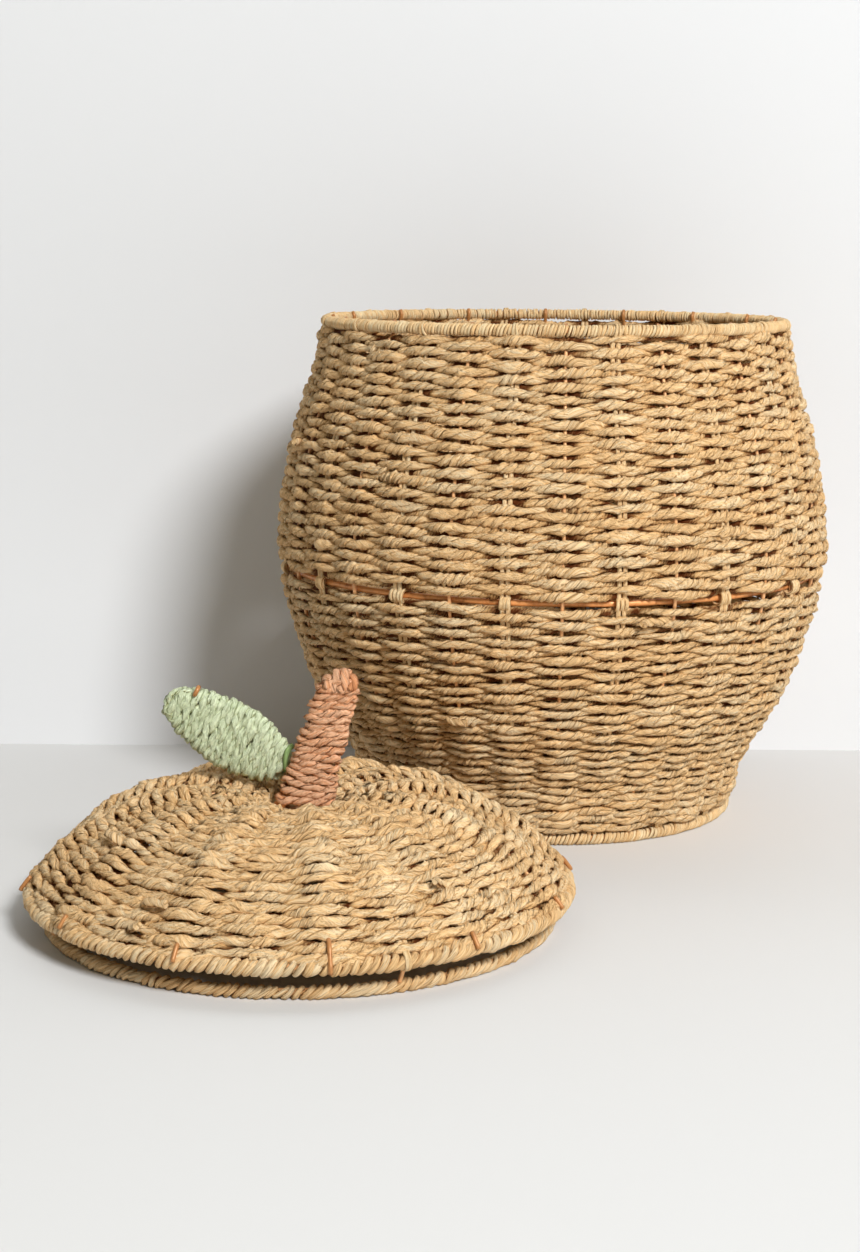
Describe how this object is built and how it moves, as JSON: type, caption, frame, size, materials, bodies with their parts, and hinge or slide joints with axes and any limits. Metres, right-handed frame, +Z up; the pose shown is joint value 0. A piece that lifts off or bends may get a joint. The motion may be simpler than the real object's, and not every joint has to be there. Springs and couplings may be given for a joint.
{
  "type": "straw basket",
  "caption": "Round-bellied basket woven of twisted paper cord on a wire frame, with a domed lift-off lid that carries a wound stem and leaf.",
  "frame": {"origin": "on the floor, at the middle of the basket's flat woven base", "axes": "+Z up, -Y to the front, where the lid lies on the floor to the left, +X to the right seen from the front"},
  "size_m": [0.4849, 0.6035, 0.3248],
  "materials": {
    "painted_wire": "satin",
    "straw_cord": "matte",
    "pale_cord": "matte",
    "stem_cord": "matte",
    "leaf_cord": "matte",
    "tie_cord": "matte"
  },
  "bodies": {
    "basket": {"upright_wire_01": "painted_wire", "upright_wire_02": "painted_wire", "upright_wire_03": "painted_wire", "upright_wire_04": "painted_wire", "upright_wire_05": "painted_wire", "upright_wire_06": "painted_wire", "upright_wire_07": "painted_wire", "upright_wire_08": "painted_wire", "upright_wire_09": "painted_wire", "upright_wire_10": "painted_wire", "upright_wire_11": "painted_wire", "upright_wire_12": "painted_wire", "upright_wire_13": "painted_wire", "upright_wire_14": "painted_wire", "upright_wire_15": "painted_wire", "upright_wire_16": "painted_wire", "warp_cord_01": "pale_cord", "warp_cord_02": "pale_cord", "warp_cord_03": "pale_cord", "warp_cord_04": "pale_cord", "warp_cord_05": "pale_cord", "warp_cord_06": "pale_cord", "warp_cord_07": "pale_cord", "warp_cord_08": "pale_cord", "warp_cord_09": "pale_cord", "warp_cord_10": "pale_cord", "warp_cord_11": "pale_cord", "warp_cord_12": "pale_cord", "warp_cord_13": "pale_cord", "warp_cord_14": "pale_cord", "warp_cord_15": "pale_cord", "warp_cord_16": "pale_cord", "rim_hoop": "painted_wire", "belly_hoop": "painted_wire", "base_hoop": "painted_wire", "rim_wrap": "pale_cord", "base_wrap": "pale_cord", "upper_weave": "straw_cord", "lower_weave": "straw_cord", "base_weave": "straw_cord", "base_spokes": "painted_wire"},
    "lid": {"lid_rim_hoop": "painted_wire", "lid_rim_wrap": "pale_cord", "lid_seat_hoop": "painted_wire", "lid_seat_wrap": "pale_cord", "lid_weave": "straw_cord", "lid_ribs": "painted_wire", "lid_drop_wire_01": "painted_wire", "lid_drop_wire_02": "painted_wire", "lid_drop_wire_03": "painted_wire", "lid_drop_wire_04": "painted_wire", "stem_frame": "painted_wire", "stem_winding": "stem_cord", "leaf_frame": "painted_wire", "leaf_winding": "leaf_cord", "leaf_tie": "tie_cord"}
  },
  "joints": [
    {"name": "lid_lift", "type": "slide", "parent": "basket", "child": "lid", "axis": [-0.1869, -0.3339, 0.9239], "range_m": [0, 0.38]}
  ]
}
